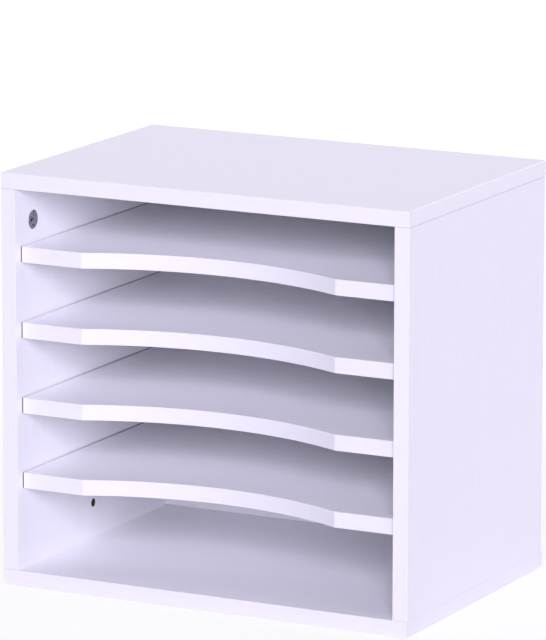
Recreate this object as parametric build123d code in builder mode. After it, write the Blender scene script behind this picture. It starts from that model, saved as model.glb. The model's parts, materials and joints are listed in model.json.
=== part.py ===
"""Desktop letter sorter of white-faced board: five open compartments, four lift-out shelves.

Frame: millimetres, +Z up, front towards -Y, origin at the centre of the underside.
Top and base boards run over the full width and depth, and the two sides stand between them.
Cam locks draw the top down on the sides, screws from below hold the base, dowels locate both.
Each shelf lies loose on four pins and has a scooped front edge, so that paper can be gripped.
"""
import os
from math import radians, tan

from build123d import *

# ---- driving dimensions: the carcass ---------------------------------------------------------
WIDTH = 350.0               # overall, side to side
DEPTH = 244.0               # overall, front to back
BOARD = 12.5                # faced board of the carcass and the shelves
TOP_CLEAR = 46.1            # free height of the uppermost compartment
SHELF_CLEAR = 47.3          # free height between one shelf and the next
BASE_CLEAR = 64.0           # free height of the lowest compartment
SHELF_COUNT = 4

# ---- driving dimensions: edge bands ----------------------------------------------------------
BAND = 0.4                  # thickness of the glued edge band
BAND_BEVEL = 0.25           # the band's long edges, scraped off

# ---- driving dimensions: back ----------------------------------------------------------------
BACK_BOARD = 2.5            # thin hardboard
BACK_INSET = 2.5            # how far the back stops short of each side's outer face
BACK_PLAY = 0.3             # room above and below the back

# ---- driving dimensions: shelves -------------------------------------------------------------
SHELF_SETBACK = 8.5         # shelf front behind the carcass front
SHELF_END_GAP = 1.0         # between a shelf's end and the side
SCOOP_LAND = 52.5           # straight front edge left at each end of the scoop
SCOOP_DEPTH = 25.0          # how far the scoop cuts back at the middle
KINK_ROUND = 4.0            # where the land turns into the scoop

# ---- driving dimensions: shelf pins ----------------------------------------------------------
PEG_D = 5.0                 # hole in the side
PEG_LENGTH = 8.0            # depth of that hole
PIN_HEAD_D = 8.0            # round head with a flat on top
PIN_FLAT = 1.8              # the flat's height over the peg's axis
PIN_REACH = 8.0             # how far the head stands out of the side
PIN_NOSE = 0.8              # chamfer round the head's free end
PIN_FROM_EDGE = 37.0        # pin to the side's front edge, and to its rear edge

# ---- driving dimensions: cam locks and their bolts -------------------------------------------
CAM_D = 15.0                # bore in the side's inner face
CAM_BORE_DEPTH = 10.0
CAM_HEIGHT = 9.5
CAM_DROP = 28.0             # cam centre below the side's upper end
FIXING_FROM_EDGE = 28.0     # cam or screw to the side's front edge, and to its rear edge
CAM_LID = 2.6               # solid plate over the cam's chamber
CAM_CROSS_LENGTH = 6.4
CAM_CROSS_WIDTH = 1.2
CAM_CROSS_DEPTH = 1.7
CAM_ARROW = 1.8             # arrow at the rim, its side length
CAM_ARROW_DEPTH = 0.3
CAM_THROW = 0.7             # eccentricity of the chamber that draws the head in
BOLT_CHANNEL_D = 7.0        # channel in the side's end, from the joint to the cam
BOLT_HEAD_D = 6.0           # ball, turned with a short straight belt
BOLT_HEAD_BELT = 2.2
BOLT_NECK_D = 3.5
BOLT_SHANK_D = 5.6
BOLT_COLLAR_D = 6.8
BOLT_COLLAR = 1.5
BOLT_THREAD_D = 6.0
BOLT_THREAD = 8.5           # screwed into the top board

# ---- driving dimensions: dowels --------------------------------------------------------------
DOWEL_D = 6.0
DOWEL_IN_FACE = 9.0         # hole in the top or base board
DOWEL_IN_EDGE = 17.0        # hole in the side's end
DOWEL_FROM_FIXING = 32.0    # dowel to the cam or the screw beside it
DOWEL_NOSE = 1.0            # chamfer of each end

# ---- driving dimensions: base screws ---------------------------------------------------------
SCREW_D = 4.0
SCREW_HEAD_D = 8.0
SCREW_TAPER = 45.0          # the countersunk head's flank to its axis
SCREW_RECESS = 0.3          # head below the underside
SCREW_LENGTH = 35.0
SCREW_TIP = 1.2             # chamfer of the point
SCREW_CROSS_LENGTH = 4.4
SCREW_CROSS_WIDTH = 1.0
SCREW_CROSS_DEPTH = 1.6

# ---- driving dimensions: nails of the back ---------------------------------------------------
NAIL_D = 1.4
NAIL_LENGTH = 18.0
NAIL_HEAD_D = 3.6
NAIL_HEAD = 0.7
NAILS_PER_SIDE = 3
NAIL_FROM_END = 30.0        # outermost nail to the side's end

# ---- driving dimensions: spare bore ----------------------------------------------------------
SPARE_BORE_D = 7.0          # blind bore at mid depth in the lowest compartment
SPARE_BORE_DEPTH = 8.0
SPARE_BORE_RISE = 28.0      # over the side's lower end

# ---- hidden round work -----------------------------------------------------------------------
ROUND_FLATS = 10            # flats round a hidden bar and the hole that hides it

# ---- clearances ------------------------------------------------------------------------------
FIT = 0.05                  # radial room round a dowel, a peg, a thread or a screw
TURNING_FIT = 0.1           # radial room round a cam in its bore
CAM_ROOM = 0.3              # round the bolt's neck inside the cam
HEAD_ROOM = 0.3             # round the bolt's ball inside the cam's chamber
BLIND_ROOM = 0.5            # between the end of a dowel, a peg or a bolt and its hole's bottom

# ---- dependent dimensions --------------------------------------------------------------------
SHELF_PITCH = BOARD + SHELF_CLEAR
SIDE_HEIGHT = BASE_CLEAR + TOP_CLEAR + SHELF_COUNT * SHELF_PITCH - SHELF_CLEAR
HEIGHT = SIDE_HEIGHT + 2 * BOARD
SIDE_TOP = HEIGHT - BOARD
FRONT = -DEPTH / 2
REAR = DEPTH / 2
SIDE_REAR = REAR - BACK_BOARD
SIDE_DEPTH = SIDE_REAR - FRONT
INNER_X = WIDTH / 2 - BOARD                 # inner face of the right side
BOARD_MID_X = WIDTH / 2 - BOARD / 2         # middle plane of the right side
SHELF_WIDTH = 2 * (INNER_X - SHELF_END_GAP)
SHELF_FRONT = FRONT + SHELF_SETBACK
SHELF_DEPTH = SIDE_REAR - SHELF_FRONT
SCOOP_CHORD = SHELF_WIDTH - 2 * SCOOP_LAND
SCOOP_RADIUS = (SCOOP_CHORD**2 / 4 + SCOOP_DEPTH**2) / (2 * SCOOP_DEPTH)
SCOOP_CENTRE_Y = SHELF_FRONT + SCOOP_DEPTH - SCOOP_RADIUS
CAM_Z = SIDE_TOP - CAM_DROP
CAM_RADIUS = CAM_D / 2 - TURNING_FIT
CHAMBER_RADIUS = BOLT_HEAD_D / 2 + HEAD_ROOM + CAM_THROW
FIXING_YS = (FRONT + FIXING_FROM_EDGE, SIDE_REAR - FIXING_FROM_EDGE)
DOWEL_YS = (FIXING_YS[0] + DOWEL_FROM_FIXING, FIXING_YS[1] - DOWEL_FROM_FIXING)
PIN_YS = (FRONT + PIN_FROM_EDGE, SIDE_REAR - PIN_FROM_EDGE)
NAIL_STEP = (SIDE_HEIGHT - 2 * NAIL_FROM_END) / (NAILS_PER_SIDE - 1)
NAIL_ZS = [BOARD + NAIL_FROM_END + NAIL_STEP * n for n in range(NAILS_PER_SIDE)]
SCREW_SINK = (SCREW_HEAD_D - SCREW_D) / 2 / tan(radians(SCREW_TAPER))
SCREW_HOLE = SCREW_RECESS + SCREW_LENGTH - BOARD + BLIND_ROOM   # in the side's lower end
NAIL_HOLE = NAIL_LENGTH - BACK_BOARD + BLIND_ROOM               # in the side's rear edge
SIDES = {"left": -1, "right": 1}
ENDS = {"front": 0, "rear": 1}


def shelf_underside(number):
    """Height of a shelf's underside; shelf 1 is the uppermost."""
    return SIDE_TOP - TOP_CLEAR - BOARD - (number - 1) * SHELF_PITCH


def inner_face(side, y, z):
    """Plane on a side's inner face at (y, z), its normal into the compartment, its Y axis up."""
    return Plane(origin=(side * INNER_X, y, z), x_dir=(0, -side, 0), z_dir=(-side, 0, 0))


def drill(plane, centres, diameter, reach):
    """Cut hidden holes in the part in hand, reach along the plane's normal (negative is down)."""
    with BuildSketch(plane) as holes:
        with Locations(*centres):
            RegularPolygon(diameter / 2, ROUND_FLATS, major_radius=False)
    extrude(holes.sketch, amount=reach, mode=Mode.SUBTRACT)


def rod(plane, diameter, reach):
    """Add a hidden round bar to the part in hand, reach along the plane's normal."""
    with BuildSketch(plane) as section:
        RegularPolygon(diameter / 2, ROUND_FLATS, major_radius=False)
    extrude(section.sketch, amount=reach)


def over_sides(ys):
    """Points over both sides' middle planes, one for each y."""
    return [(side * BOARD_MID_X, y) for side in SIDES.values() for y in ys]


def on_sides(make, places, *sizes):
    """One compound of what make(side, place, *sizes) gives at each place of both sides."""
    pieces = [make(side, place, *sizes) for side in SIDES.values() for place in places]
    return Compound(children=pieces)


def write(piece, name):
    """Label a finished piece and write it as one STEP file."""
    piece.label = name
    export_step(piece, f"parts/{name}.step")


# ---- edge bands ------------------------------------------------------------------------------
def band_strip(start, outward, along, length):
    """Straight edge band; start is the middle of its outer face where it begins."""
    with BuildPart() as strip:
        with BuildSketch(Plane(origin=start, x_dir=outward, z_dir=along)) as section:
            Rectangle(BAND, BOARD, align=(Align.MAX, Align.CENTER))
            chamfer(section.vertices().group_by(Axis.X)[-1], length=BAND_BEVEL)
        extrude(amount=length)
    return strip.part


def band_frame(mid_z):
    """The four strips round a board of full width and depth."""
    side_length = DEPTH - 2 * BAND
    return Compound(
        children=[
            band_strip((-WIDTH / 2, FRONT, mid_z), (0, -1, 0), (1, 0, 0), WIDTH),
            band_strip((-WIDTH / 2, REAR, mid_z), (0, 1, 0), (1, 0, 0), WIDTH),
            band_strip((-WIDTH / 2, FRONT + BAND, mid_z), (-1, 0, 0), (0, 1, 0), side_length),
            band_strip((WIDTH / 2, FRONT + BAND, mid_z), (1, 0, 0), (0, 1, 0), side_length),
        ]
    )


# ---- top and base boards ---------------------------------------------------------------------
def top_panel():
    """Upper board, drilled from below for the cam bolts and the dowels."""
    underside = Plane.XY.offset(SIDE_TOP)
    with BuildPart() as board:
        with BuildSketch(underside):
            Rectangle(WIDTH - 2 * BAND, DEPTH - 2 * BAND)
        extrude(amount=BOARD)
        drill(underside, over_sides(FIXING_YS), BOLT_THREAD_D, BOLT_THREAD + BLIND_ROOM)
        drill(underside, over_sides(DOWEL_YS), DOWEL_D, DOWEL_IN_FACE)
    return board.part


def base_panel():
    """Lower board, countersunk from below for the screws and drilled from above for the dowels."""
    with BuildPart() as board:
        with BuildSketch(Plane.XY):
            Rectangle(WIDTH - 2 * BAND, DEPTH - 2 * BAND)
        extrude(amount=BOARD)
        drill(Plane.XY, over_sides(FIXING_YS), SCREW_D + 2 * FIT, BOARD)
        drill(Plane.XY.offset(BOARD), over_sides(DOWEL_YS), DOWEL_D, -DOWEL_IN_FACE)
        with BuildSketch(Plane.XY):
            with Locations(*over_sides(FIXING_YS)):
                Circle(SCREW_HEAD_D / 2 + SCREW_RECESS)
        extrude(amount=SCREW_RECESS + SCREW_SINK, taper=SCREW_TAPER, mode=Mode.SUBTRACT)
    return board.part


# ---- sides -----------------------------------------------------------------------------------
def side_panel(side):
    """One side with every bore that it carries: cams, bolt channels, dowels, pins, screws, nails."""
    x = side * BOARD_MID_X
    with BuildPart() as board:
        with BuildSketch(Plane.XY.offset(BOARD)):
            with Locations((x, (FRONT + BAND + SIDE_REAR) / 2)):
                Rectangle(BOARD, SIDE_DEPTH - BAND)
        extrude(amount=SIDE_HEIGHT)

        upper_end = Plane.XY.offset(SIDE_TOP)
        drill(upper_end, [(x, y) for y in FIXING_YS], BOLT_CHANNEL_D, -CAM_DROP)
        drill(upper_end, [(x, y) for y in DOWEL_YS], DOWEL_D, -DOWEL_IN_EDGE)
        lower_end = Plane.XY.offset(BOARD)
        drill(lower_end, [(x, y) for y in FIXING_YS], SCREW_D + 2 * FIT, SCREW_HOLE)
        drill(lower_end, [(x, y) for y in DOWEL_YS], DOWEL_D, DOWEL_IN_EDGE)
        rear_edge = Plane(origin=(x, SIDE_REAR, 0), x_dir=(1, 0, 0), z_dir=(0, -1, 0))
        drill(rear_edge, [(0, z) for z in NAIL_ZS], NAIL_D + 2 * FIT, NAIL_HOLE)
        for number in range(1, SHELF_COUNT + 1):
            for y in PIN_YS:
                face = inner_face(side, y, shelf_underside(number) - PIN_FLAT)
                drill(face, [(0, 0)], PEG_D, -PEG_LENGTH - BLIND_ROOM)

        with Locations(*[inner_face(side, y, CAM_Z) for y in FIXING_YS]):
            Hole(CAM_D / 2, depth=CAM_BORE_DEPTH)
        with Locations(inner_face(side, (FRONT + SIDE_REAR) / 2, BOARD + SPARE_BORE_RISE)):
            Hole(SPARE_BORE_D / 2, depth=SPARE_BORE_DEPTH)
    return board.part


# ---- back ------------------------------------------------------------------------------------
def back_panel():
    """Thin hardboard behind the sides, between the top and the base, with its nail holes."""
    nails = [(side * BOARD_MID_X, z) for side in SIDES.values() for z in NAIL_ZS]
    outer_face = Plane(origin=(0, REAR, 0), x_dir=(1, 0, 0), z_dir=(0, -1, 0))
    with BuildPart() as board:
        with BuildSketch(Plane.XY.offset(BOARD + BACK_PLAY)):
            with Locations((0, (SIDE_REAR + REAR) / 2)):
                Rectangle(WIDTH - 2 * BACK_INSET, BACK_BOARD)
        extrude(amount=SIDE_HEIGHT - 2 * BACK_PLAY)
        drill(outer_face, nails, NAIL_D + 2 * FIT, BACK_BOARD)
        drill(outer_face, nails, NAIL_HEAD_D + 2 * FIT, NAIL_HEAD)
    return board.part


def nail(side, z):
    """One nail, its flat head flush with the back's outer face."""
    outer_face = Plane(origin=(side * BOARD_MID_X, REAR, z), x_dir=(1, 0, 0), z_dir=(0, -1, 0))
    with BuildPart() as body:
        rod(outer_face, NAIL_HEAD_D, NAIL_HEAD)
        rod(outer_face, NAIL_D, NAIL_LENGTH)
    return body.part


# ---- shelves ---------------------------------------------------------------------------------
def shelf_outline(inset):
    """Shelf seen from above, its front line moved back by inset; the scoop is an arc."""
    with BuildSketch(mode=Mode.PRIVATE) as outline:
        with Locations((0, SIDE_REAR)):
            Rectangle(SHELF_WIDTH, SHELF_DEPTH - inset, align=(Align.CENTER, Align.MAX))
        with Locations((0, SCOOP_CENTRE_Y)):
            Circle(SCOOP_RADIUS + inset, mode=Mode.SUBTRACT)
        kinks = outline.vertices().group_by(Axis.Y)[0].sort_by(Axis.X)[1:-1]
        fillet(kinks, radius=KINK_ROUND - inset)
    return outline.sketch


def shelf(number):
    """Board of one shelf."""
    with BuildPart() as board:
        with BuildSketch(Plane.XY.offset(shelf_underside(number))):
            add(shelf_outline(BAND))
        extrude(amount=BOARD)
    return board.part


def shelf_band(number):
    """Edge band along a shelf's lands and scoop, in one strip."""
    with BuildPart() as strip:
        with BuildSketch(Plane.XY.offset(shelf_underside(number))):
            add(shelf_outline(0))
            add(shelf_outline(BAND), mode=Mode.SUBTRACT)
        extrude(amount=BOARD)
        outer = strip.faces().filter_by(lambda face: face.normal_at().Y < -0.5)
        chamfer(outer.edges().filter_by(Axis.Z, reverse=True), length=BAND_BEVEL)
    return strip.part


def shelf_pin(side, y, number):
    """Pin whose flat carries the shelf: peg in the side, round head cut flat on top."""
    face = inner_face(side, y, shelf_underside(number) - PIN_FLAT)
    with BuildPart() as pin:
        with BuildSketch(face):
            Circle(PIN_HEAD_D / 2)
            with Locations((0, PIN_FLAT)):
                Rectangle(PIN_HEAD_D, PIN_HEAD_D, align=(Align.CENTER, Align.MIN), mode=Mode.SUBTRACT)
        extrude(amount=PIN_REACH)
        chamfer(pin.edges().group_by(Axis.X)[-1 if side < 0 else 0], length=PIN_NOSE)
        rod(face, PEG_D - 2 * FIT, -PEG_LENGTH)
    return pin.part


# ---- cam lock and bolt -----------------------------------------------------------------------
def cam_lock(side, y):
    """Cam, locked: a lid with a cross recess over an eccentric chamber that holds the bolt's ball.

    In the face's own axes the bolt comes from +Y and the mouth that lets the ball out points to
    -Y. Half a turn brings the mouth under the bolt, with the neck in the slot all the way.
    """
    face = inner_face(side, y, CAM_Z)
    slot_low = -BOARD / 2 - BOLT_NECK_D / 2 - CAM_ROOM
    slot_height = BOLT_NECK_D + 2 * CAM_ROOM
    mouth_width = BOLT_HEAD_D + 2 * CAM_ROOM
    with BuildPart() as cam:
        with BuildSketch(face.offset(-CAM_HEIGHT)):
            Circle(CAM_RADIUS)
        extrude(amount=CAM_HEIGHT)
        with BuildSketch(face.offset(-CAM_HEIGHT)):
            with Locations((0, -CAM_THROW)):
                RegularPolygon(CHAMBER_RADIUS, ROUND_FLATS, major_radius=False)
            Rectangle(mouth_width, CAM_D, align=(Align.CENTER, Align.MAX))
        extrude(amount=CAM_HEIGHT - CAM_LID, mode=Mode.SUBTRACT)
        with BuildSketch(face.offset(slot_low)):
            with Locations((-BOLT_NECK_D / 2 - CAM_ROOM, 0)):
                Rectangle(CAM_D, CAM_D, align=(Align.MIN, Align.CENTER))
        extrude(amount=slot_height, mode=Mode.SUBTRACT)
        with BuildSketch(face):
            Rectangle(CAM_CROSS_LENGTH, CAM_CROSS_WIDTH)
            Rectangle(CAM_CROSS_WIDTH, CAM_CROSS_LENGTH)
        extrude(amount=-CAM_CROSS_DEPTH, mode=Mode.SUBTRACT)
        with BuildSketch(face):
            with Locations((0, -(CAM_RADIUS + CAM_CROSS_LENGTH / 2) / 2)):
                RegularPolygon(radius=CAM_ARROW / 3**0.5, side_count=3, rotation=-90)
        extrude(amount=-CAM_ARROW_DEPTH, mode=Mode.SUBTRACT)
    return cam.part


def cam_bolt(side, y):
    """Bolt from the top board down into the cam: thread, collar, shank, neck and ball."""
    joint = Plane.XY.move(Location((side * BOARD_MID_X, y, SIDE_TOP)))
    belt = joint.offset(-CAM_DROP - BOLT_HEAD_BELT / 2)
    with BuildPart() as bolt:
        rod(joint.offset(-CAM_DROP - BOLT_HEAD_D / 2), BOLT_HEAD_D, BOLT_HEAD_D)
        chamfer(bolt.edges().filter_by(Axis.Z, reverse=True), length=(BOLT_HEAD_D - BOLT_HEAD_BELT) / 2)
        rod(belt, BOLT_NECK_D, CAM_D / 2 + BOLT_HEAD_BELT / 2)
        rod(joint.offset(-CAM_DROP + CAM_D / 2), BOLT_SHANK_D, CAM_DROP - CAM_D / 2)
        rod(joint, BOLT_COLLAR_D, -BOLT_COLLAR)
        rod(joint, BOLT_THREAD_D - 2 * FIT, BOLT_THREAD)
    return bolt.part


# ---- dowels and screws -----------------------------------------------------------------------
def dowel(side, y, joint_z, into_face):
    """Wooden dowel across a joint; into_face is +1 where the faced board lies above."""
    joint = Plane.XY.move(Location((side * BOARD_MID_X, y, joint_z)))
    with BuildPart() as peg:
        rod(joint, DOWEL_D - 2 * FIT, into_face * (DOWEL_IN_FACE - BLIND_ROOM))
        rod(joint, DOWEL_D - 2 * FIT, -into_face * (DOWEL_IN_EDGE - BLIND_ROOM))
        ends = peg.edges().group_by(Axis.Z)
        chamfer(ends[0] + ends[-1], length=DOWEL_NOSE)
    return peg.part


def base_screw(side, y):
    """Countersunk cross-head screw, driven up through the base board into the side."""
    head = Plane.XY.move(Location((side * BOARD_MID_X, y, SCREW_RECESS)))
    with BuildPart() as screw:
        with BuildSketch(head):
            Circle(SCREW_HEAD_D / 2)
        extrude(amount=SCREW_SINK, taper=SCREW_TAPER)
        rod(head, SCREW_D, SCREW_LENGTH)
        chamfer(screw.edges().group_by(Axis.Z)[-1], length=SCREW_TIP)
        with BuildSketch(head):
            Rectangle(SCREW_CROSS_LENGTH, SCREW_CROSS_WIDTH)
            Rectangle(SCREW_CROSS_WIDTH, SCREW_CROSS_LENGTH)
        extrude(amount=SCREW_CROSS_DEPTH, mode=Mode.SUBTRACT)
    return screw.part


# ---- build and write -------------------------------------------------------------------------
os.makedirs("parts", exist_ok=True)

write(top_panel(), "top_panel")
write(band_frame(HEIGHT - BOARD / 2), "top_edge_bands")
write(base_panel(), "base_panel")
write(band_frame(BOARD / 2), "base_edge_bands")
write(back_panel(), "back_panel")
write(on_sides(nail, NAIL_ZS), "back_nails")

for word, side in SIDES.items():
    write(side_panel(side), f"{word}_side_panel")
    foot = (side * BOARD_MID_X, FRONT, BOARD)
    write(band_strip(foot, (0, -1, 0), (0, 0, 1), SIDE_HEIGHT), f"{word}_side_edge_band")
    for end, index in ENDS.items():
        write(cam_lock(side, FIXING_YS[index]), f"cam_lock_{word}_{end}")

write(on_sides(cam_bolt, FIXING_YS), "cam_bolts")
write(on_sides(base_screw, FIXING_YS), "base_screws")
write(on_sides(dowel, DOWEL_YS, SIDE_TOP, 1), "top_dowels")
write(on_sides(dowel, DOWEL_YS, BOARD, -1), "base_dowels")

for number in range(1, SHELF_COUNT + 1):
    write(shelf(number), f"shelf_{number}")
    write(shelf_band(number), f"shelf_{number}_edge_band")
    write(on_sides(shelf_pin, PIN_YS, number), f"shelf_{number}_pins")
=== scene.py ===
"""Looks of a white desktop letter sorter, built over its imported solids.

Metres, +Z up, front towards -Y, origin at the centre of the underside. The boards and bands keep
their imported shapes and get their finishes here; the fittings are turned and cut again, finer.
"""
from __future__ import annotations

import json
import logging
import math
from dataclasses import dataclass, field
from enum import Enum
from typing import Any, Union

import bmesh
import bpy
from mathutils import Matrix, Vector

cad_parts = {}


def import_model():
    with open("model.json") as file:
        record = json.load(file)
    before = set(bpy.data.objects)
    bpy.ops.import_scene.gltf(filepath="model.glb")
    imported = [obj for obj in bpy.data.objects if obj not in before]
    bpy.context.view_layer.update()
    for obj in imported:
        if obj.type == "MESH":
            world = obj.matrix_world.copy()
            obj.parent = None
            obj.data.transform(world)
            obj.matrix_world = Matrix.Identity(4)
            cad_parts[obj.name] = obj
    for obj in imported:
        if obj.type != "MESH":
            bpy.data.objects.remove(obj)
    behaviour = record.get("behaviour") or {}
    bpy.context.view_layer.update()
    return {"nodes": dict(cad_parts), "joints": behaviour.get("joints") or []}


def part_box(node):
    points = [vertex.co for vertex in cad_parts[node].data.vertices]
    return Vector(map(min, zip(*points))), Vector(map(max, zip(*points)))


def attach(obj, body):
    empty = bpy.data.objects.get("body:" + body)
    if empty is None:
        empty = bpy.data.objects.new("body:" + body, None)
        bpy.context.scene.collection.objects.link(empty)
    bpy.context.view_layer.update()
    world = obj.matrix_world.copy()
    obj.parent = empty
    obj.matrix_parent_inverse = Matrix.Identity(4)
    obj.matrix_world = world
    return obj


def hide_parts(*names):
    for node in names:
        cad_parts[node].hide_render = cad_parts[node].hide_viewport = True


MM = 0.001
LOG = logging.getLogger("letter_sorter")
Colour = tuple[float, float, float]
Point = tuple[float, float, float]
Pair = tuple[float, float]
BLACK: Colour = (0.0, 0.0, 0.0)
OVER = 1 * MM                       # how far a cutting tool stands out of what it cuts
WELD = 0.001 * MM                   # points nearer than this are one


# ---- shader arithmetic -----------------------------
class Shade:
    """A number that varies over a surface; Python arithmetic on it adds Math nodes."""

    def __init__(self, tree: Nodes, socket: bpy.types.NodeSocket) -> None:
        """Keep the tree that owns the nodes, and the output socket."""
        self.tree = tree
        self.socket = socket

    def math(self, operation: str, *operands: Number, clamp: bool = False) -> Shade:
        """Add one Math node on this number.

        Args:
            operation: the Math node's operation.
            operands: the further inputs, in the node's order.
            clamp: whether the result is kept between 0 and 1.

        Returns:
            The node's result.
        """
        sockets = dict(enumerate((self, *operands)))
        settings = {"operation": operation, "use_clamp": clamp}
        return self.tree.node("ShaderNodeMath", settings, sockets).number()

    def __add__(self, other: Number) -> Shade:
        """Sum."""
        return self.math("ADD", other)

    def __sub__(self, other: Number) -> Shade:
        """Difference."""
        return self.math("SUBTRACT", other)

    def __rsub__(self, other: float) -> Shade:
        """Difference, reflected."""
        return self.math("MULTIPLY_ADD", -1.0, other)

    def __mul__(self, other: Number) -> Shade:
        """Product."""
        return self.math("MULTIPLY", other)

    def __truediv__(self, other: Number) -> Shade:
        """Quotient."""
        return self.math("DIVIDE", other)

    def __abs__(self) -> Shade:
        """Size without sign."""
        return self.math("ABSOLUTE")

    def minimum(self, other: Number) -> Shade:
        """The smaller of the two."""
        return self.math("MINIMUM", other)

    def maximum(self, other: Number) -> Shade:
        """The larger of the two."""
        return self.math("MAXIMUM", other)

    def above(self, limit: float) -> Shade:
        """1 where this is more than limit, else 0."""
        return self.math("GREATER_THAN", limit)

    def below(self, limit: float) -> Shade:
        """1 where this is less than limit, else 0."""
        return self.math("LESS_THAN", limit)

    def rise(self, low: float, high: float) -> Shade:
        """A straight ramp from 0 at low to 1 at high, held beyond them."""
        return self.math("MULTIPLY_ADD", 1 / (high - low), -low / (high - low), clamp=True)


Number = Union[Shade, float]
Tint = Union[bpy.types.NodeSocket, Colour]


class Result:
    """One node just added, and its outputs."""

    def __init__(self, tree: Nodes, node: bpy.types.Node) -> None:
        """Keep the tree and the node."""
        self.tree = tree
        self.node = node

    def out(self, name: str | int = 0) -> bpy.types.NodeSocket:
        """An output socket by name or place."""
        return self.node.outputs[name]

    def number(self, name: str | int = 0) -> Shade:
        """An output as a number to reckon with."""
        return Shade(self.tree, self.out(name))


class Nodes:
    """A node tree while it is being built."""

    def __init__(self, tree: bpy.types.NodeTree) -> None:
        """Take over a tree and empty it."""
        self.tree = tree
        self.tree.nodes.clear()

    def node(self, kind: str, settings: dict[str, Any] | None = None,
             sockets: dict[str | int, Any] | None = None) -> Result:
        """Add one node of any kind.

        Args:
            kind: the node's type.
            settings: attributes to set first.
            sockets: values or links for its inputs, by name or place.

        Returns:
            The node with its outputs.
        """
        made = self.tree.nodes.new(kind)
        for key, value in (settings or {}).items():
            setattr(made, key, value)
        for key, value in (sockets or {}).items():
            if isinstance(value, Shade):
                value = value.socket
            if isinstance(value, bpy.types.NodeSocket):
                self.tree.links.new(value, made.inputs[key])
            else:
                made.inputs[key].default_value = value
        return Result(self, made)

    def seen(self) -> Shade:
        """1 for what the camera sees, also in a reflection or through glass; 0 for lighting."""
        path = self.node("ShaderNodeLightPath")
        direct = path.number("Is Camera Ray").maximum(path.number("Is Glossy Ray"))
        return direct.maximum(path.number("Is Transmission Ray"))


class Paint(Nodes):
    """One material's node tree, while it is being built."""

    def __init__(self, name: str) -> None:
        """Start an empty material of that name."""
        self.material = bpy.data.materials.new(name)
        self.material.use_nodes = True
        super().__init__(self.material.node_tree)

    def place(self) -> tuple[bpy.types.NodeSocket, Shade, Shade, Shade]:
        """The point on the object, in metres, as a vector and as its three numbers."""
        point = self.node("ShaderNodeTexCoord").out("Object")
        split = self.node("ShaderNodeSeparateXYZ", sockets={0: point})
        return point, split.number("X"), split.number("Y"), split.number("Z")

    def scaled(self, point: bpy.types.NodeSocket, *scale: float) -> bpy.types.NodeSocket:
        """The point, scaled by one number or by one for each axis, for a texture to read."""
        by_axis = scale if len(scale) == 3 else scale * 3
        return self.node("ShaderNodeMapping", {"vector_type": "POINT"},
                         {"Vector": point, "Scale": by_axis}).out()

    def noise(self, vector: bpy.types.NodeSocket, detail: float, rough: float = 0.5) -> Shade:
        """Fractal noise, about 0 to 1, one feature to a unit of its vector."""
        sockets = {"Vector": vector, "Scale": 1.0, "Detail": detail, "Roughness": rough}
        return self.node("ShaderNodeTexNoise", sockets=sockets).number("Fac")

    def mix(self, share: Number, low: Tint, high: Tint) -> bpy.types.NodeSocket:
        """Mix two colours, the second by a share."""
        inputs = {"Factor": share}
        for key, colour in ((6, low), (7, high)):
            inputs[key] = (*colour, 1.0) if isinstance(colour, tuple) else colour
        settings = {"data_type": "RGBA", "clamp_factor": True}
        return self.node("ShaderNodeMix", settings, inputs).out(2)

    def bump(self, height: Shade, distance: float) -> bpy.types.NodeSocket:
        """A normal from a height in units of distance metres."""
        sockets = {"Height": height, "Distance": distance, "Strength": 1.0}
        return self.node("ShaderNodeBump", sockets=sockets).out("Normal")

    def finish(self, colour: bpy.types.NodeSocket, roughness: Number,
               normal: bpy.types.NodeSocket, **constants: float) -> bpy.types.Material:
        """Close the tree with a Principled shader.

        Args:
            colour: the base colour.
            roughness: a number or a value.
            normal: the bumped normal.
            constants: further inputs of the shader, with underscores for spaces.

        Returns:
            The finished material.
        """
        sockets: dict[str | int, Any] = {
            "Base Color": colour, "Roughness": roughness, "Normal": normal}
        sockets.update({key.replace("_", " "): value for key, value in constants.items()})
        shader = self.node("ShaderNodeBsdfPrincipled", sockets=sockets)
        self.node("ShaderNodeOutputMaterial", sockets={"Surface": shader.out("BSDF")})
        return self.material


# ---- finishes --------------------------------------
class Grain(Enum):
    """Axis that a board's printed grain runs along."""

    ACROSS = 0
    UPRIGHT = 2


class Thickness(Enum):
    """Axis that a board's thickness lies along."""

    SIDEWAYS = 0
    UPRIGHT = 2


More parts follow.
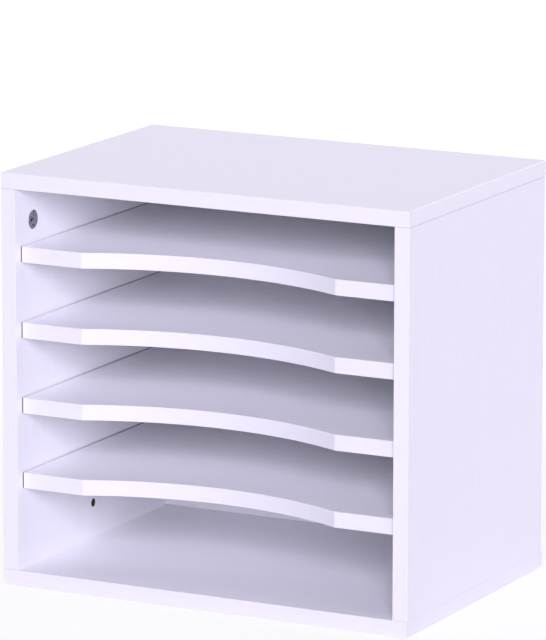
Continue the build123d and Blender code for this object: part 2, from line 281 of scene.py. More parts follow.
@dataclass(frozen=True)
class WhiteFoil:
    """White printed foil with faint long streaks and fine closed pores."""

    colour: Colour = (0.925, 0.937, 0.967)
    streak_colour: Colour = (0.911, 0.923, 0.955)
    pore_colour: Colour = (0.842, 0.852, 0.898)
    streak_length: float = 160 * MM
    streak_width: float = 5.0 * MM
    pore_length: float = 22 * MM
    pore_width: float = 0.7 * MM
    pore_starts: float = 0.62       # noise above this is a pore
    pore_edge: float = 0.08         # and this much higher, a whole one
    pore_tint: float = 0.6          # share of the pores' colour in a pore
    pore_depth: float = 0.05 * MM
    pore_seed: float = 31.0         # parts the pores' noise from the streaks'
    pore_sink: float = 0.8          # how far pores and streaks lie under the surface
    streak_sink: float = 0.2
    streak_range: Pair = (0.35, 0.7)
    streak_detail: float = 4.0
    pore_detail: float = 2.0
    roughness: float = 0.42
    roughness_swing: float = 0.10
    ior: float = 1.46
    specular: float = 0.45

    def lay(self, paint: Paint, along: Shade, across: Shade, over: Number,
            seed: float) -> tuple[bpy.types.NodeSocket, Shade, Shade]:
        """Lay the foil's pattern on one direction of grain.

        Args:
            paint: the material in hand.
            along: place along the grain, in metres.
            across: place across it on the surface.
            over: place through the board, so that its two faces differ.
            seed: moves the pattern, so that no two boards match.

        Returns:
            Its colour, its roughness and its height, 0 in a pore and 1 on the surface.
        """
        streaks = self._noise(paint, along / self.streak_length, across / self.streak_width,
                              over / self.streak_width, seed, self.streak_detail)
        pores = self._noise(paint, along / self.pore_length, across / self.pore_width,
                            over / self.pore_width, seed + self.pore_seed, self.pore_detail)
        pore = pores.rise(self.pore_starts, self.pore_starts + self.pore_edge)
        colour = paint.mix(streaks.rise(*self.streak_range), self.colour, self.streak_colour)
        colour = paint.mix(pore * self.pore_tint, colour, self.pore_colour)
        roughness = streaks * self.roughness_swing + (self.roughness - self.roughness_swing / 2)
        return colour, roughness, 1 - pore * self.pore_sink - streaks * self.streak_sink

    @staticmethod
    def _noise(paint: Paint, along: Shade, across: Shade, over: Number, seed: float,
               detail: float) -> Shade:
        """Noise over three numbers, shifted by the seed."""
        vector = paint.node("ShaderNodeCombineXYZ", sockets={0: along + seed, 1: across, 2: over})
        return paint.noise(vector.out(), detail)


@dataclass(frozen=True)
class ParticleCore:
    """Pressed chips, as they show on a sawn edge or in a bore."""

    pale: Colour = (0.470, 0.350, 0.225)
    dark: Colour = (0.225, 0.150, 0.088)
    chip: float = 1.6 * MM
    relief: float = 4.0             # height of the chips, by the depth of the foil's pores
    roughness: float = 0.85

    def lay(self, paint: Paint, point: bpy.types.NodeSocket) -> tuple[bpy.types.NodeSocket, Shade]:
        """The chips' colour and height at a point."""
        vector = paint.scaled(point, 1 / self.chip)
        cells = paint.node("ShaderNodeTexVoronoi", sockets={"Vector": vector, "Scale": 1.0})
        tone = paint.node("ShaderNodeSeparateColor", sockets={0: cells.out("Color")}).number(0)
        colour = paint.mix(tone, self.dark, self.pale)
        return colour, 1 - cells.number("Distance")


@dataclass(frozen=True)
class JointShade:
    """Hairline of shade at a level joint, where a side meets the top or the base."""

    reach: float                    # the shade begins this far from the joint
    core: float                     # and is full this far from it
    share: float = 0.35
    colour: Colour = (0.42, 0.40, 0.47)

    def lay(self, paint: Paint, under: bpy.types.NodeSocket, z: Shade,
            joint: float) -> bpy.types.NodeSocket:
        """The colour under it, shaded near the joint's height."""
        near = abs(z - joint).rise(self.reach, self.core)
        return paint.mix(near * self.share, under, self.colour)


@dataclass(frozen=True)
class ShelfGapShade:
    """Painted shade of the gaps between the shelves' ends and a side's inner face; darker towards
    the back.
    """

    inner: float                    # the sides' inner faces, from the middle
    lowest: float                   # underside of the lowest shelf
    pitch: float
    thickness: float
    front: float                    # the shelves' front and rear
    rear: float
    line: float = 0.85 * MM         # half the height of the painted shade line along a shelf's upper face
    line_core: float = 0.6          # share of that half in which the line is full
    tick: float = 2.0 * MM          # width of the painted shade behind a shelf's front edge, where the gap shows
    grows: Pair = (0.2, 0.65)       # where in depth the line starts to darken, and ends
    line_share: float = 0.62
    tick_share: float = 0.66
    colour: Colour = (0.10, 0.095, 0.115)
    slack: float = 0.1 * MM         # room for rounding at a face
    under: float = 1 * MM           # how far it reaches below the lowest shelf

    def share(self, x: Shade, y: Shade, z: Shade) -> Shade:
        """How dark the painted gap shade is at a point, 0 to 1."""
        # painted shade: a line along each shelf's upper face, fuller towards the back, and a mark
        # behind its front edge
        rise = (z - self.lowest).math("FLOORED_MODULO", self.pitch)
        on_inner_face = abs(x).below(self.inner + self.slack) * z.above(self.lowest - self.under)
        start, end = (self.front + part * (self.rear - self.front) for part in self.grows)
        along = abs(rise - self.thickness).rise(self.line, self.line_core * self.line)
        along = along * y.rise(start, end) * y.below(self.rear) * self.line_share
        behind = y.above(self.front - self.slack) * y.below(self.front + self.tick)
        across = rise.below(self.thickness) * behind * self.tick_share
        return on_inner_face * along.maximum(across)


@dataclass(frozen=True)
class FacedBoard:
    """Particle board with white foil on both faces; its core shows where it is cut."""

    name: str
    grain: Grain
    thickness: Thickness
    middle: float                   # the thickness's middle plane, in metres
    half: float                     # half the thickness
    seed: float
    shaded_joints: tuple[float, ...] = ()                   # their heights
    outer_edges: tuple[float, float, float] | None = None   # lower and upper end, rear edge
    # painted shade of the gaps at the shelves' ends, on the sides' inner faces
    rub: ShelfGapShade | None = None
    foil: WhiteFoil = WhiteFoil()
    core: ParticleCore = ParticleCore()
    joint_shade: JointShade = JointShade(reach=0.6 * MM, core=0.15 * MM)
    foil_thickness: float = 0.28 * MM
    bore_starts: float = 1 * MM     # a cut face this far in from the outer edges is a bore
    bore_shade_tone: float = 0.2          # brightness of the painted shade in a bore, by a sawn edge's

    def material(self) -> bpy.types.Material:
        """Build the board's material."""
        paint = Paint(self.name)
        point, x, y, z = paint.place()
        axes = [x, y, z]
        along = axes.pop(self.grain.value)
        over = (x, y, z)[self.thickness.value]
        across = next(a for a in axes if a is not over)
        colour, roughness, height = self.foil.lay(paint, along, across, over, self.seed)
        for joint in self.shaded_joints:
            colour = self.joint_shade.lay(paint, colour, z, joint)
        # painted shade where the shelves' ends leave gaps at the side
        if self.rub is not None:
            colour = paint.mix(self.rub.share(x, y, z), colour, self.rub.colour)
        cut = abs(over - self.middle).below(self.half - self.foil_thickness)
        core_colour, core_height = self.core.lay(paint, point)
        # painted shade: the core darkened in bores, away from the board's outer edges
        if self.outer_edges is not None:
            bottom, top, rear = self.outer_edges
            in_bore_shade = (z - bottom).minimum(top - z).minimum(rear - y).above(self.bore_starts)
            core_colour = paint.mix(in_bore_shade * (1 - self.bore_shade_tone), core_colour, BLACK)
        colour = paint.mix(cut, colour, core_colour)
        height = height * (1 - cut) + core_height * cut * self.core.relief
        roughness = roughness + cut * (self.core.roughness - self.foil.roughness)
        return paint.finish(colour, roughness, paint.bump(height, self.foil.pore_depth),
                            IOR=self.foil.ior, Specular_IOR_Level=self.foil.specular)


class BandRun(Enum):
    """How an edge band runs."""

    LEVEL = "level"
    UPRIGHT = "upright"


@dataclass(frozen=True)
class EdgeBand:
    """White band glued on a cut edge, a little glossier than the faces; its front strip carries
    painted shade.
    """

    name: str
    run: BandRun
    seed: float
    shaded_joints: tuple[float, ...] = ()       # their heights
    front_end: float = 0.0          # where the front strip ends; at 0 it is the whole band
    front_shade_tone: float = 0.80        # the front strip's brightness, by the side strips'; painted shade against the light on it
    joint_shade: JointShade = JointShade(reach=0.5 * MM, core=0.1 * MM)
    foil: WhiteFoil = WhiteFoil(streak_length=90 * MM, streak_width=2.2 * MM, roughness=0.36,
                                ior=1.48, specular=0.5)

    def material(self) -> bpy.types.Material:
        """Build the band's material."""
        paint = Paint(self.name)
        _, x, y, z = paint.place()
        level = x + y
        along, across = (level, z) if self.run is BandRun.LEVEL else (z, level)
        colour, roughness, height = self.foil.lay(paint, along, across, 0.0, self.seed)
        # painted shade: the front strip darker than the side strips
        in_front_shade = y.below(self.front_end)
        colour = paint.mix(in_front_shade * (1 - self.front_shade_tone), colour, BLACK)
        for joint in self.shaded_joints:
            colour = self.joint_shade.lay(paint, colour, z, joint)
        return paint.finish(colour, roughness, paint.bump(height, self.foil.pore_depth),
                            IOR=self.foil.ior, Specular_IOR_Level=self.foil.specular)


@dataclass(frozen=True)
class Hardboard:
    """Thin fibreboard: painted white inside, bare and printed by the press's screen outside."""

    name: str
    inner: float                    # the inner face's place in depth, in metres
    paint_colour: Colour = (0.82, 0.83, 0.86)
    fibre: Colour = (0.355, 0.225, 0.120)
    dark_fibre: Colour = (0.230, 0.135, 0.066)
    fibre_size: float = 2.5 * MM
    fibre_noise: Pair = (6.0, 0.65)     # its detail and roughness
    clouds: float = 14.0            # soft patches to a metre
    cloud_detail: float = 2.0
    cloud_share: float = 0.3        # of the patches in the fibres' tone
    contrast: Pair = (0.3, 0.7)
    paint_dip: float = 0.97         # the paint's darkest tone, by its colour
    paint_fill: float = 0.7         # how much of the fibres' relief the paint levels
    screen: float = 1.6 * MM        # pitch of the press's screen
    screen_height: float = 0.6      # by the fibres' height
    depth: float = 0.15 * MM
    slack: float = 0.1 * MM         # room for rounding at the painted face
    roughness: float = 0.8
    paint_roughness: float = 0.48
    ior: float = 1.48

    def material(self) -> bpy.types.Material:
        """Build the back board's material."""
        paint = Paint(self.name)
        point, x, y, z = paint.place()
        tangle = paint.noise(paint.scaled(point, 1 / self.fibre_size), *self.fibre_noise)
        cloud = paint.noise(paint.scaled(point, self.clouds), self.cloud_detail)
        tone = tangle * (1 - self.cloud_share) + cloud * self.cloud_share
        bare = paint.mix(tone.rise(*self.contrast), self.dark_fibre, self.fibre)
        turn = 2 * math.pi / self.screen
        weave = (x * turn).math("SINE") * (z * turn).math("SINE")
        inside = y.below(self.inner + self.slack)
        dipped = tuple(part * self.paint_dip for part in self.paint_colour)
        colour = paint.mix(inside, bare, paint.mix(cloud, self.paint_colour, dipped))
        height = weave * (1 - inside) * self.screen_height + tangle * (1 - inside * self.paint_fill)
        roughness = self.roughness - inside * (self.roughness - self.paint_roughness)
        return paint.finish(colour, roughness, paint.bump(height, self.depth), IOR=self.ior)


@dataclass(frozen=True)
class Metal:
    """A fitting's bare or plated metal, mottled by casting or plating."""

    name: str
    colour: Colour
    dark: Colour
    mottle: float                   # size of a patch, in metres
    roughness: float
    metallic: float = 1.0
    finer: float = 6.0              # grains to a patch's width
    patch_noise: Pair = (4.0, 0.6)  # its detail and roughness
    grain_noise: Pair = (3.0, 0.6)
    grain_share: float = 0.25       # of the grains in the tone
    contrast: Pair = (0.36, 0.62)
    roughness_swing: float = 0.2
    depth: float = 0.03 * MM
    recess: Pair | None = None      # painted shade in a recess: the sides' inner face, and the depth beyond which it is dark
    recess_shade_tone: float = 0.04

    def material(self) -> bpy.types.Material:
        """Build the fitting's material."""
        paint = Paint(self.name)
        point, x, *_ = paint.place()
        patches = paint.noise(paint.scaled(point, 1 / self.mottle), *self.patch_noise)
        grains = paint.noise(paint.scaled(point, self.finer / self.mottle), *self.grain_noise)
        tone = patches * (1 - self.grain_share) + grains * self.grain_share
        colour = paint.mix(tone.rise(*self.contrast), self.dark, self.colour)
        # painted shade in the cam's recess, darker with depth below the face
        if self.recess is not None:
            face, deep = self.recess
            sunk_shade = abs(x).rise(face + deep, face + 2 * deep)
            colour = paint.mix(sunk_shade * (1 - self.recess_shade_tone), colour, BLACK)
        roughness = patches * self.roughness_swing + (self.roughness - self.roughness_swing / 2)
        return paint.finish(colour, roughness, paint.bump(grains + patches, self.depth),
                            Metallic=self.metallic)


@dataclass(frozen=True)
class Beech:
    """Bare beech of the dowels, its grain upright."""

    name: str
    pale: Colour = (0.640, 0.440, 0.260)
    dark: Colour = (0.450, 0.285, 0.150)
    lines: Point = (1800.0, 1800.0, 120.0)      # grain lines to a metre, by axis
    flecks: Point = (4000.0, 4000.0, 700.0)
    line_noise: Pair = (4.0, 0.6)   # its detail and roughness
    fleck_detail: float = 2.0
    fleck_share: float = 0.3
    contrast: Pair = (0.35, 0.65)
    depth: float = 0.08 * MM
    roughness: float = 0.62

    def material(self) -> bpy.types.Material:
        """Build the dowels' material."""
        paint = Paint(self.name)
        point, *_ = paint.place()
        lines = paint.noise(paint.scaled(point, *self.lines), *self.line_noise)
        flecks = paint.noise(paint.scaled(point, *self.flecks), self.fleck_detail)
        tone = lines * (1 - self.fleck_share) + flecks * self.fleck_share
        colour = paint.mix(tone.rise(*self.contrast), self.dark, self.pale)
        return paint.finish(colour, self.roughness, paint.bump(lines, self.depth))


# ---- the object ------------------------------------
def dress(node: bpy.types.Object, material: bpy.types.Material) -> None:
    """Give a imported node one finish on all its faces."""
    node.data.materials.clear()
    node.data.materials.append(material)
    LOG.info("%s: %s", node.name, material.name)


@dataclass
class Case:
    """Top, base, sides and back with their edge bands."""

    nodes: dict[str, bpy.types.Object]
    front_strip: float = 0.45 * MM      # how far a level band's front strip, with its painted shade, reaches back
    seeds: dict[str, float] = field(default_factory=lambda: {
        "top_panel": 3.0, "base_panel": 17.0, "left_side_panel": 41.0, "right_side_panel": 58.0,
        "top_edge_bands": 70.0, "base_edge_bands": 71.0, "left_side_edge_band": 80.0,
        "right_side_edge_band": 81.0})

    def dress(self) -> None:
        """Finish the case's boards and bands."""
        joints = (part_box("left_side_panel")[0].z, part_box("left_side_panel")[1].z)
        inner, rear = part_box("right_side_panel")[0].x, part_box("left_side_panel")[1].y
        (low, high), lowest_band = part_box("shelf_4"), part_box("shelf_4_edge_band")
        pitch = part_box("shelf_3")[0].z - low.z
        # painted shade of the gaps between the shelves' ends and the sides
        rub = ShelfGapShade(inner, low.z, pitch, high.z - low.z, lowest_band[0].y, high.y)
        for name in ("top_panel", "base_panel"):
            self._board(name, Grain.ACROSS, Thickness.UPRIGHT)
        for name in ("left_side_panel", "right_side_panel"):
            self._board(name, Grain.UPRIGHT, Thickness.SIDEWAYS, shaded_joints=joints[1:],
                        outer_edges=(*joints, rear), rub=rub)
        for name, joint in (("top_edge_bands", joints[1]), ("base_edge_bands", joints[0])):
            self._band(name, BandRun.LEVEL, (joint,),
                       front_end=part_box(name)[0].y + self.front_strip)
        for name in ("left_side_edge_band", "right_side_edge_band"):
            self._band(name, BandRun.UPRIGHT, joints)
        back = self.nodes["back_panel"]
        dress(back, Hardboard("hardboard_of_back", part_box("back_panel")[0].y).material())

    def _board(self, name: str, grain: Grain, thickness: Thickness, **edges: Any) -> None:
        """Finish one board from its own box; edges are further fields of its finish."""
        low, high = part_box(name)
        axis = thickness.value
        board = FacedBoard(f"board_of_{name}", grain, thickness, (low[axis] + high[axis]) / 2,
                           (high[axis] - low[axis]) / 2, self.seeds[name], **edges)
        dress(self.nodes[name], board.material())

    def _band(self, name: str, run: BandRun, joints: tuple[float, ...], **ends: float) -> None:
        """Finish one board's edge bands; ends are further fields of their finish."""
        band = EdgeBand(f"band_of_{name}", run, self.seeds[name], joints, **ends)
        dress(self.nodes[name], band.material())


@dataclass
class Shelves:
    """The loose shelves with their edge bands."""

    nodes: dict[str, bpy.types.Object]
    count: int = 4
    first_seed: float = 100.0
    seed_step: float = 13.7
    band_seed: float = 5.0          # parts a band's pattern from its shelf's

    def dress(self) -> None:
        """Finish each shelf and its band."""
        for number in range(1, self.count + 1):
            name = f"shelf_{number}"
            low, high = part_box(name)
            seed = self.first_seed + number * self.seed_step
            board = FacedBoard(f"board_of_{name}", Grain.ACROSS, Thickness.UPRIGHT,
                               (low.z + high.z) / 2, (high.z - low.z) / 2, seed)
            dress(self.nodes[name], board.material())
            band = EdgeBand(f"band_of_{name}", BandRun.LEVEL, seed + self.band_seed)
            dress(self.nodes[f"{name}_edge_band"], band.material())


class Piece:
    """A piece being modelled with bmesh operators, in its own axes."""

    def __init__(self) -> None:
        """Start with no shape."""
        self.shape = bmesh.new()

    def turn(self, profile: list[Pair], steps: int) -> Piece:
        """Turn a profile of (radius, height) points about the Z axis, like a lathe.

        Args:
            profile: points from the axis at one end to the axis at the other.
            steps: facets round the full turn.

        Returns:
            This piece.
        """
        points = [self.shape.verts.new((radius, 0.0, height)) for radius, height in profile]
        edges = [self.shape.edges.new(pair) for pair in zip(points, points[1:])]
        bmesh.ops.spin(self.shape, geom=points + edges, cent=(0, 0, 0), axis=(0, 0, 1),
                       dvec=(0, 0, 0), angle=math.tau, steps=steps, use_merge=True)
        return self.close()

    def block(self, low: Point, high: Point, taper: float = 1.0) -> Piece:
        """Add a block between two corners, its lower end scaled by taper about its middle."""
        size = Vector(high) - Vector(low)
        middle = (Vector(high) + Vector(low)) / 2
        made = bmesh.ops.create_cube(self.shape, size=1.0)["verts"]
        bmesh.ops.scale(self.shape, vec=size, verts=made)
        lower = [vert for vert in made if vert.co.z < 0]
        bmesh.ops.scale(self.shape, vec=(taper, taper, 1.0), verts=lower)
        bmesh.ops.translate(self.shape, vec=middle, verts=made)
        return self

    def prism(self, sides: int, radius: float, low: float, high: float,
              centre: Pair = (0.0, 0.0), start: float = 0.0) -> Piece:
        """Add an upright prism of equal sides, its first corner start degrees round from +X."""
        move = Matrix.Translation((*centre, (low + high) / 2)) @ Matrix.Rotation(
            math.radians(start) + math.pi / 2, 4, "Z")
        bmesh.ops.create_cone(self.shape, cap_ends=True, segments=sides, radius1=radius,
                              radius2=radius, depth=high - low, matrix=move)
        return self

    def close(self) -> Piece:
        """Merge doubles and turn all faces outward."""
        bmesh.ops.remove_doubles(self.shape, verts=self.shape.verts, dist=WELD)
        bmesh.ops.recalc_face_normals(self.shape, faces=self.shape.faces)
        return self

    def mesh(self, name: str) -> bpy.types.Mesh:
        """The finished mesh; this piece is used up."""
        made = bpy.data.meshes.new(name)
        self.shape.to_mesh(made)
        self.shape.free()
        return made


def show(name: str, data: bpy.types.ID) -> bpy.types.Object:
    """Put a mesh, camera or lamp in the scene as an object at the origin."""
    made = bpy.data.objects.new(name, data)
    bpy.context.scene.collection.objects.link(made)
    return made


def carve(mesh: bpy.types.Mesh, tools: list[bpy.types.Mesh]) -> bpy.types.Mesh:
    """Cut tools out of a mesh.

    Args:
        mesh: the blank.
        tools: closed meshes to subtract, one after the other.

    Returns:
        The cut mesh.
    """
    blank = show("blank", mesh)
    cutters = [show("cutter", tool) for tool in tools]
    for cutter in cutters:
        cut = blank.modifiers.new("cut", "BOOLEAN")
        cut.operation = "DIFFERENCE"
        cut.solver = "EXACT"
        cut.object = cutter
    view = bpy.context.evaluated_depsgraph_get()
    result = bpy.data.meshes.new_from_object(blank.evaluated_get(view))
    for used in (blank, *cutters):
        bpy.data.objects.remove(used)
    return result


def cross(length: float, width: float, depth: float, over: float, taper: float,
          turn: Matrix) -> list[bpy.types.Mesh]:
    """The two arms of a cross recess, as tools to cut with.

    Args:
        length: length of an arm where it starts.
        width: its width there.
        depth: how deep it reaches below height 0.
        over: how far above height 0 it starts.
        taper: its size at the bottom, by its size where it starts.
        turn: turns both arms into place.

    Returns:
        The arms' meshes.
    """
    arms = []
    for a, b in ((length / 2, width / 2), (width / 2, length / 2)):
        arm = Piece().block((-a, -b, -depth), (a, b, over), taper).mesh("arm")
        arm.transform(turn)
        arms.append(arm)
    return arms


def copies(name: str, mesh: bpy.types.Mesh, places: list[Matrix]) -> bpy.types.Mesh:
    """One mesh that holds a copy of another at each place."""
    gathered = Piece()
    for place in places:
        single = mesh.copy()
        single.transform(place)
        gathered.shape.from_mesh(single)
        bpy.data.meshes.remove(single)
    return gathered.mesh(name)


def on_inner_face(side: int, x: float, y: float, z: float) -> Matrix:
    """Axes on a side's inner face: Z into the compartment, Y up; side is -1 left, 1 right."""
    turn = Matrix(((0, 0, -side), (-side, 0, 0), (0, 1, 0)))
    return Matrix.Translation((x, y, z)) @ turn.to_4x4()


@dataclass
class Fitting:
    """A kind of fitting that is modelled again in finer form."""

    slot: str
    material: bpy.types.Material
    smooth_angle: float = 32.0

    def stand_for(self, name: str, mesh: bpy.types.Mesh, node: str, body: str) -> None:
        """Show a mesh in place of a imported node.

        Args:
            name: the new piece's name.
            mesh: its shape, in place.
            node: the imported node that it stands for.
            body: the body that it moves with.
        """
        mesh.materials.clear()
        mesh.materials.append(self.material)
        mesh.shade_smooth()
        mesh.set_sharp_from_angle(angle=math.radians(self.smooth_angle))
        made = show(name, mesh)
        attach(made, body)
        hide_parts(node)
        LOG.info("%s: %d faces, for %s", name, len(mesh.polygons), node)


@dataclass
class CamLocks(Fitting):
    """Cast cams with a cross recess, an arrow and the chamber that draws the bolt in."""

    radius: float = 7.4 * MM
    height: float = 9.5 * MM
    facets: int = 96
    rim: float = 0.4 * MM               # width of the rounded rim
    rim_middle: Pair = (0.15 * MM, 0.12 * MM)       # its middle, in from the side and the face
    groove: Pair = (1.1 * MM, 1.5 * MM)             # the ring groove's edges, in from the side
    groove_depth: float = 0.18 * MM
    lid: float = 2.6 * MM
    axis_depth: float = 6.25 * MM       # the bolt's axis below the face
    neck: float = 4.1 * MM              # width of the slot for the bolt's neck
    ball: float = 3.3 * MM
    throw: float = 0.7 * MM
    room_facets: int = 48
    cross_length: float = 4.4 * MM
    cross_width: float = 0.85 * MM
    cross_depth: float = 1.8 * MM
    cross_taper: float = 0.62
    cross_turn: float = 45.0            # degrees from upright
    pilot: float = 0.6 * MM             # radius of the recess's deep middle
    pilot_taper: float = 0.6
    pilot_extra: float = 0.4 * MM       # how much deeper than the cross it is
    pilot_facets: int = 32
    arrow: float = 1.2 * MM
    arrow_turn: float = -90.0           # degrees round to where it points
    arrow_depth: float = 0.3 * MM
    dimple: float = 1.35 * MM           # radius of the casting's blind hole
    dimple_offset: float = 3.05 * MM
    dimple_depth: float = 1.9 * MM
    dimple_facets: int = 20

    def build(self, joints: list[dict[str, Any]]) -> None:
        """Model one cam and set a copy in each bore, on its joint's axis."""
        shape = self._shape()
        for joint in joints:
            if joint["child"].startswith("cam_lock"):
                x, y, z = joint["pos_m"]
                mesh = shape.copy()
                mesh.transform(on_inner_face(1 if x > 0 else -1, x, y, z))
                self.stand_for(f"{joint['child']}_cast", mesh, joint["child"], joint["child"])

    def _shape(self) -> bpy.types.Mesh:
        """The cam, its face at height 0."""
        foot, r = -self.height, self.radius
        groove_out, groove_in = (r - inset for inset in self.groove)
        floor = -self.groove_depth
        rim_in, rim_down = self.rim_middle
        blank = Piece().turn([(0.0, foot), (r, foot), (r, -self.rim), (r - rim_in, -rim_down),
                              (r - self.rim, 0.0), (groove_out, 0.0), (groove_out, floor),
                              (groove_in, floor), (groove_in, 0.0), (0.0, 0.0)], self.facets)
        arms = cross(self.cross_length, self.cross_width, self.cross_depth, OVER, self.cross_taper,
                     Matrix.Rotation(math.radians(self.cross_turn), 4, "Z"))
        pilot = Piece().turn([(0.0, -self.cross_depth - self.pilot_extra),
                              (self.pilot_taper * self.pilot, -self.cross_depth),
                              (self.pilot, OVER), (0.0, OVER)], self.pilot_facets)
        dimple = Piece().prism(self.dimple_facets, self.dimple, -self.dimple_depth, OVER,
                               (-self.dimple_offset, 0.0))
        arrow_y = -(groove_in + self.cross_length / 2) / 2
        arrow = Piece().prism(3, self.arrow, -self.arrow_depth, OVER, (0.0, arrow_y),
                              self.arrow_turn)
        below, ceiling = foot - OVER, -self.lid
        room = Piece().prism(self.room_facets, self.ball + self.throw, below, ceiling,
                             (0.0, -self.throw))
        mouth = Piece().block((-self.ball, -2 * r, below), (self.ball, 0.0, ceiling))
        slot_half = self.neck / 2
        slot = Piece().block((-slot_half, -2 * r, -self.axis_depth - slot_half),
                             (2 * r, 2 * r, -self.axis_depth + slot_half))
        tools = [*arms, pilot.mesh("pilot"), dimple.mesh("dimple"), arrow.mesh("arrow"),
                 room.mesh("room"), mouth.mesh("mouth"), slot.mesh("slot")]
        return carve(blank.mesh("cam_blank"), tools)


@dataclass
class ShelfPins(Fitting):
    """Turned pins: a peg in the side and a head with a flat that carries the shelf."""

    head: float = 4.0 * MM
    head_edge: float = 0.2 * MM
    reach: float = 8.0 * MM
    flat: float = 1.8 * MM          # its height over the axis
    nose: float = 0.8 * MM
    nose_steps: int = 5
    peg: float = 2.45 * MM
    peg_edge: float = 0.5 * MM
    peg_length: float = 8.0 * MM
    facets: int = 48
    count: int = 4

    def build(self, inner: float) -> None:
        """Model one pin and set four under each shelf.

        Args:
            inner: distance of the sides' inner faces from the middle.
        """
        shape = self._shape()
        for number in range(1, self.count + 1):
            node = f"shelf_{number}_pins"
            low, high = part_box(node)
            places = [on_inner_face(side, side * inner, y, high.z - self.peg)
                      for side in (-1, 1) for y in (low.y + self.head, high.y - self.head)]
            self.stand_for(f"{node}_turned", copies(node, shape, places), node, "carcass")

    def _shape(self) -> bpy.types.Mesh:
        """One pin, its head along +Z from the side's face."""
        tip, end = -self.peg_length, self.reach
        head, nose = self.head, self.nose
        profile = [(0.0, tip), (self.peg - self.peg_edge, tip), (self.peg, tip + self.peg_edge),
                   (self.peg, 0.0), (head - self.head_edge, 0.0), (head, self.head_edge),
                   (head, end - nose)]
        for step in range(1, self.nose_steps + 1):
            angle = step * math.pi / (2 * self.nose_steps)
            profile.append((head - nose + nose * math.cos(angle),
                            end - nose + nose * math.sin(angle)))
        blank = Piece().turn([*profile, (0.0, end)], self.facets)
        above = Piece().block((-2 * head, self.flat, 0.0), (2 * head, 2 * head, end + OVER))
        return carve(blank.mesh("pin_blank"), [above.mesh("above")])


@dataclass
class BaseScrews(Fitting):
    """Countersunk screws, seen from below."""

    head: float = 4.0 * MM
    head_edge: float = 0.1 * MM
    rim: float = 0.25 * MM          # height of the head's straight side
    shank: float = 2.0 * MM
    plain: float = 13.0 * MM        # where the thread starts
    core: float = 1.35 * MM
    length: float = 35.0 * MM
    pitch: float = 1.8 * MM
    valley: Pair = (0.3, 0.8)       # the thread's flat bottom, in pitches from a crest
    point: float = 3.0              # the point's length in pitches
    facets: int = 40
    cross_length: float = 4.6 * MM
    cross_width: float = 0.9 * MM
    cross_depth: float = 1.9 * MM
    cross_over: float = 0.5 * MM
    cross_taper: float = 0.55

    def build(self) -> None:
        """Model one screw and drive it up at each of the node's four places."""
        low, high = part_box("base_screws")
        places = [Matrix.Translation((x, y, low.z))
                  for x in (low.x + self.head, high.x - self.head)
                  for y in (low.y + self.head, high.y - self.head)]
        mesh = copies("base_screws", self._shape(), places)
        self.stand_for("base_screws_turned", mesh, "base_screws", "carcass")

    def _shape(self) -> bpy.types.Mesh:
        """One screw, its head's face at height 0 and its point up."""
        head, shank, core, pitch = self.head, self.shank, self.core, self.pitch
        start, stop = (part * pitch for part in self.valley)
        profile = [(0.0, 0.0), (head - self.head_edge, 0.0), (head, self.head_edge),
                   (head, self.rim), (shank, self.rim + head - shank), (shank, self.plain)]
        height = self.plain
        while height < self.length - self.point * pitch:
            profile += [(core, height + start), (core, height + stop), (shank, height + pitch)]
            height += pitch
        profile += [(core, height + start), (0.0, self.length)]
        arms = cross(self.cross_length, self.cross_width, self.cross_depth, self.cross_over,
                     self.cross_taper, Matrix.Rotation(math.pi, 4, "X"))
        return carve(Piece().turn(profile, self.facets).mesh("screw_blank"), arms)


@dataclass
class BackNails(Fitting):
    """Flat-headed nails of the back, their heads slightly domed."""

    head: float = 1.8 * MM
    head_height: float = 0.7 * MM
    crown: float = 0.12 * MM        # height of the head's dome, without its edge
    dome: tuple[Pair, ...] = ((0.6, 0.3), (0.92, 1.0), (1.0, 2.2))      # by head and by crown
    shank: float = 0.7 * MM
    length: float = 18.0 * MM
    tip: float = 2.0 * MM
    facets: int = 28
    rows: int = 3

    def build(self) -> None:
        """Model one nail and drive it forward at each of the node's places."""
        low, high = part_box("back_nails")
        first, last = low.z + self.head, high.z - self.head
        step = (last - first) / (self.rows - 1)
        side_low, side_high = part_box("right_side_panel")
        middle = (side_low.x + side_high.x) / 2
        turn = Matrix.Rotation(math.pi / 2, 4, "X")
        places = [Matrix.Translation((x, high.y, first + row * step)) @ turn
                  for x in (-middle, middle) for row in range(self.rows)]
        mesh = copies("back_nails", self._shape(), places)
        self.stand_for("back_nails_drawn", mesh, "back_nails", "carcass")

    def _shape(self) -> bpy.types.Mesh:
        """One nail, its head's crown at height 0 and its point along +Z."""
        head, crown = self.head, self.crown
        dome = [(out * head, down * crown) for out, down in self.dome]
        profile = [(0.0, 0.0), *dome, (head, self.head_height),
                   (self.shank, self.head_height + crown),
                   (self.shank, self.length - self.tip), (0.0, self.length)]
        return Piece().turn(profile, self.facets).mesh("nail")


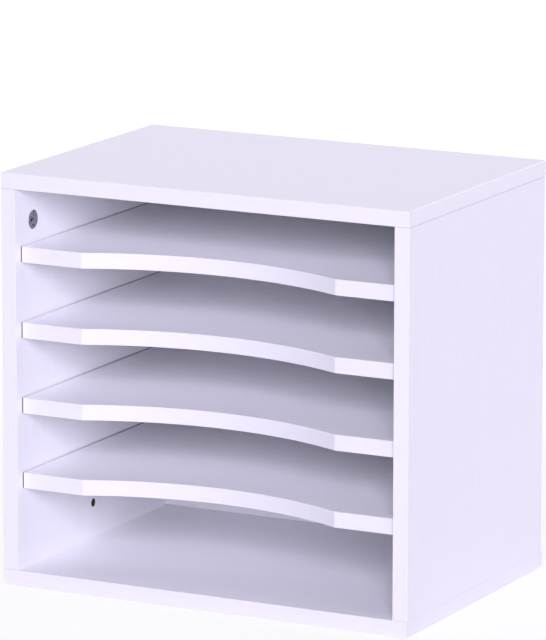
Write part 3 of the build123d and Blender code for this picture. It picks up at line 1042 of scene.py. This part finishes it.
@dataclass
class Fittings:
    """All the fittings: finer cams, pins, screws and nails; bolts and dowels as packed."""

    nodes: dict[str, bpy.types.Object]
    joints: list[dict[str, Any]]

    def dress(self) -> None:
        """Build or finish each fitting."""
        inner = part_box("right_side_panel")[0].x
        # the cams' recesses get painted shade below 0.14 mm
        zinc = Metal("cast_zinc", colour=(0.52, 0.52, 0.54), dark=(0.18, 0.18, 0.20),
                     mottle=1.7 * MM, roughness=0.5, metallic=0.75, recess=(inner, 0.14 * MM))
        steel = Metal("plated_steel", colour=(0.66, 0.66, 0.67), dark=(0.48, 0.48, 0.50),
                      mottle=3.0 * MM, roughness=0.28)
        zinc_material, steel_material = zinc.material(), steel.material()
        CamLocks("zinc", zinc_material).build(self.joints)
        ShelfPins("bright_steel", steel_material).build(inner)
        BaseScrews("bright_steel", steel_material).build()
        BackNails("bright_steel", steel_material).build()
        dress(self.nodes["cam_bolts"], steel_material)
        beech = Beech("bare_beech").material()
        for name in ("top_dowels", "base_dowels"):
            dress(self.nodes[name], beech)


# ---- the studio ------------------------------------
def orbit(aim: Point, azimuth: float, elevation: float, distance: float) -> Matrix:
    """Stand off from a point and face it; angles in degrees, azimuth 0 in front, 90 at right."""
    turn = (Matrix.Rotation(math.radians(azimuth), 4, "Z")
            @ Matrix.Rotation(math.radians(90 - elevation), 4, "X"))
    return Matrix.Translation(aim) @ turn @ Matrix.Translation((0, 0, distance))


@dataclass(frozen=True)
class View:
    """The photograph's viewpoint: where it looks, from how far and at which angles."""

    aim: Point = (-5.4 * MM, 6.7 * MM, 203.4 * MM)
    distance: float = 4.2248
    azimuth: float = 27.327
    elevation: float = 11.897
    roll: float = 0.083
    focal_pixels: float = 5410.4
    picture_height: float = 640.0
    sensor: float = 36.0
    sight: float = 50.0             # nothing beyond this is seen

    def build(self) -> None:
        """Make the camera and hand it to the scene."""
        data = bpy.data.cameras.new("view")
        data.sensor_width = self.sensor
        data.lens = self.focal_pixels * self.sensor / self.picture_height
        data.clip_end = self.sight
        camera = show("view", data)
        stand = orbit(self.aim, self.azimuth, self.elevation, self.distance)
        camera.matrix_world = stand @ Matrix.Rotation(math.radians(self.roll), 4, "Z")
        bpy.context.scene.camera = camera


@dataclass(frozen=True)
class Lamp:
    """One square soft lamp that faces the object, at an azimuth and elevation as the view's."""

    name: str
    azimuth: float
    elevation: float
    distance: float
    size: float
    power: float
    aim: Point = (0.0, 0.0, 0.16)
    colour: Colour = (1.06, 0.978, 1.19)

    def build(self) -> None:
        """Make the lamp."""
        data = bpy.data.lights.new(self.name, "AREA")
        data.shape = "SQUARE"
        data.size = self.size
        data.energy = self.power
        data.color = self.colour
        lamp = show(self.name, data)
        lamp.matrix_world = orbit(self.aim, self.azimuth, self.elevation, self.distance)


@dataclass(frozen=True)
class Studio:
    """White floor, white surroundings and soft lamps."""

    ambient: float = 0.04
    floor_size: float = 24.0
    floor_colour: Colour = (0.84, 0.84, 0.84)
    shade_share: float = 0.22       # of the floor's look near the object that lamps and shadow make
    shade_reach: float = 0.9        # beyond this distance the floor is plain white
    floor_glow: float = 1.06        # the plain white's strength, where the floor is seen
    lamps: tuple[Lamp, ...] = (     # name, azimuth, elevation, distance, size and power
        Lamp("key_lamp", 25.0, 18.4, 14.0, 5.25, 1900.0),
        Lamp("right_lamp", 61.0, 16.0, 8.0, 3.5, 58.0),
        Lamp("upper_lamp", -143.0, 79.0, 2.7, 2.0, 27.0),
        Lamp("rear_lamp", 164.0, 15.0, 3.3, 1.6, 27.0),
    )

    def build(self) -> None:
        """Make the surroundings, the floor and the lamps."""
        self._world()
        self._floor()
        for lamp in self.lamps:
            lamp.build()

    def _world(self) -> None:
        """Even soft light from all round, and plain white to the camera and in reflections."""
        world = bpy.data.worlds.new("surroundings")
        world.use_nodes = True
        bpy.context.scene.world = world
        nodes = Nodes(world.node_tree)
        strength = nodes.seen() * (1 - self.ambient) + self.ambient
        glow = nodes.node("ShaderNodeBackground",
                          sockets={"Color": (1.0, 1.0, 1.0, 1.0), "Strength": strength})
        nodes.node("ShaderNodeOutputWorld", sockets={"Surface": glow.out()})

    def _floor(self) -> None:
        """A pale floor that keeps the object's shadow, soft and light."""
        plane = Piece()
        bmesh.ops.create_grid(plane.shape, x_segments=1, y_segments=1, size=self.floor_size / 2)
        floor = show("floor", plane.mesh("floor"))
        paint = Paint("floor_white")
        _, x, y, _ = paint.place()
        away = (x * x + y * y).math("SQRT").rise(self.shade_reach / 2, self.shade_reach)
        share = paint.seen() * (away * self.shade_share + (1 - self.shade_share))
        matt = paint.node("ShaderNodeBsdfDiffuse", sockets={"Color": (*self.floor_colour, 1.0)})
        glow = paint.node("ShaderNodeEmission", sockets={"Strength": self.floor_glow})
        both = paint.node("ShaderNodeMixShader", sockets={0: share, 1: matt.out(), 2: glow.out()})
        paint.node("ShaderNodeOutputMaterial", sockets={"Surface": both.out()})
        floor.data.materials.append(paint.material)


def main() -> None:
    """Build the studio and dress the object."""
    logging.basicConfig(level=logging.INFO, format="%(name)s %(message)s")
    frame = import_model()
    scene = bpy.context.scene
    scene.view_settings.view_transform = "Standard"
    View().build()
    Studio().build()
    nodes = frame["nodes"]
    for assembly in (Case(nodes), Shelves(nodes), Fittings(nodes, frame["joints"])):
        assembly.dress()


if __name__ == "__main__":
    main()
